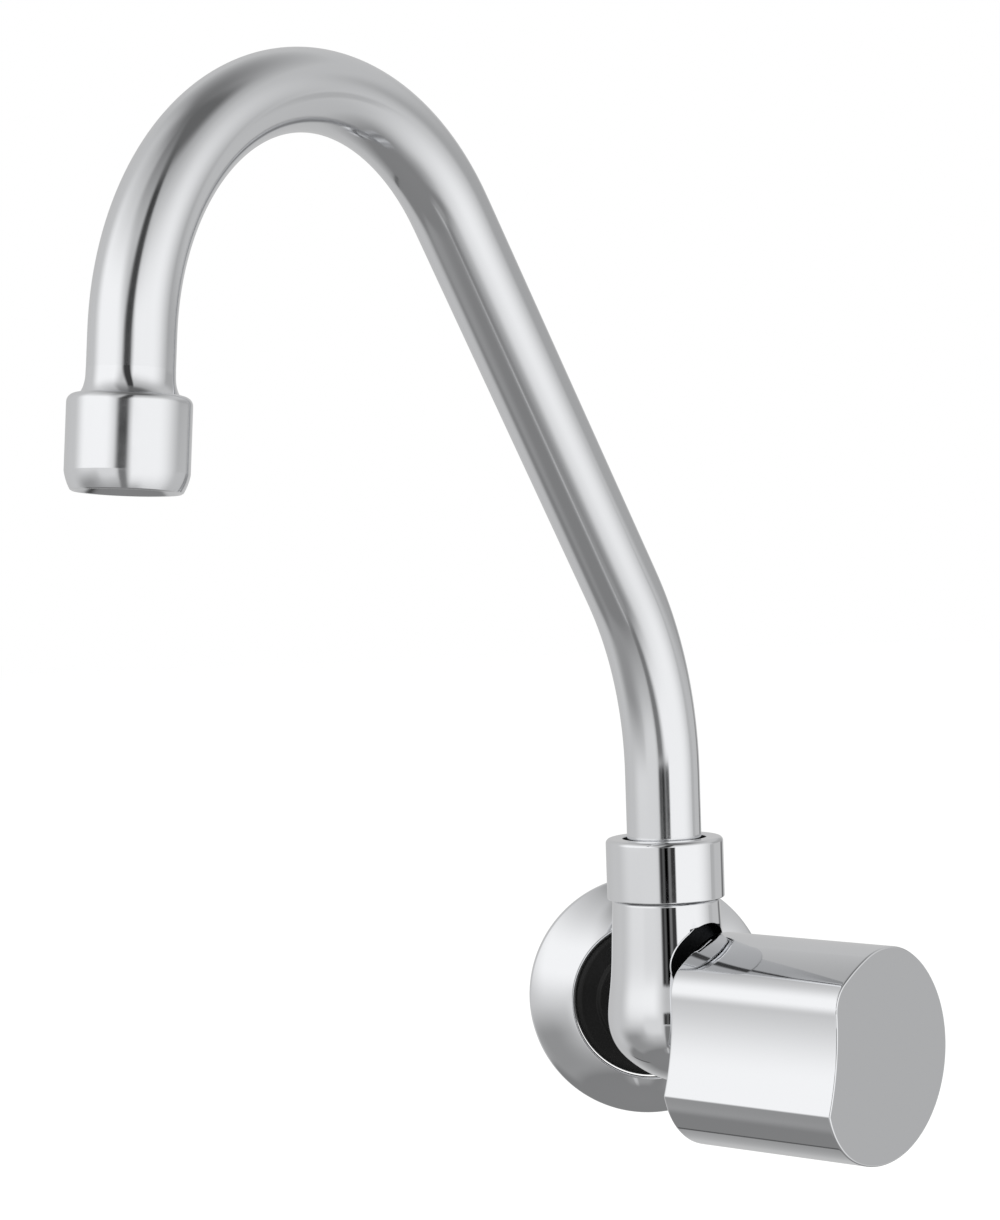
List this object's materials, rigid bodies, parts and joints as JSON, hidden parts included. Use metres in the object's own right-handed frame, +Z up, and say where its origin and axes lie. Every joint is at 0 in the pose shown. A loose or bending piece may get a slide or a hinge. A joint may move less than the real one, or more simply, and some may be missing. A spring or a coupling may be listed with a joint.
{
  "type": "commercial wall faucet",
  "caption": "Chromed wall faucet: flange with rubber grommet, cast body, swinging gooseneck spout with aerator, and a quarter-turn ceramic valve with a scalloped knob at the side",
  "frame": {"origin": "centre of the flange's back face, on the inlet axis, in the plane of the wall", "axes": "+X to the right seen from the front, +Y into the wall, +Z up"},
  "size_m": [0.2036, 0.2411, 0.2734],
  "materials": {
    "polished_chrome": "mirror polished chrome plating",
    "brass": "turned, unplated",
    "stainless_steel": "fine machined",
    "black_rubber": "smooth moulded",
    "acetal": "moulded",
    "white_plastic": "moulded",
    "ceramic": "lapped white alumina"
  },
  "bodies": {
    "base": {"wall_flange": "polished_chrome", "flange_grommet": "black_rubber", "inlet_strainer": "acetal", "faucet_body": "polished_chrome", "swivel_nut": "polished_chrome", "glide_ring": "acetal", "cartridge_housing": "brass", "cartridge_oring": "black_rubber", "disc_sleeve": "stainless_steel", "seat_seal": "black_rubber", "fixed_disc": "ceramic"},
    "valve": {"moving_disc": "ceramic", "cartridge_spindle": "brass", "spindle_orings": "black_rubber", "thrust_washer": "stainless_steel", "spindle_clip": "stainless_steel", "knob_insert": "acetal", "knob": "polished_chrome", "knob_set_screw": "stainless_steel"},
    "spout": {"spout_ferrule": "brass", "spout_orings": "black_rubber", "spout_tube": "polished_chrome", "outlet_adapter": "polished_chrome", "aerator_housing": "polished_chrome", "aerator_washer": "black_rubber", "aerator_insert": "white_plastic", "aerator_screens": "stainless_steel"}
  },
  "joints": [
    {"name": "spout_swivel", "type": "hinge", "parent": "base", "child": "spout", "pos_m": [0, -0.065, 0.0421], "axis": [0, 0, 1], "range_deg": [-60, 140]},
    {"name": "valve_turn", "type": "hinge", "parent": "base", "child": "valve", "pos_m": [0, -0.065, 0], "axis": [0.7071, -0.7071, 0], "range_deg": [0, 90]}
  ]
}
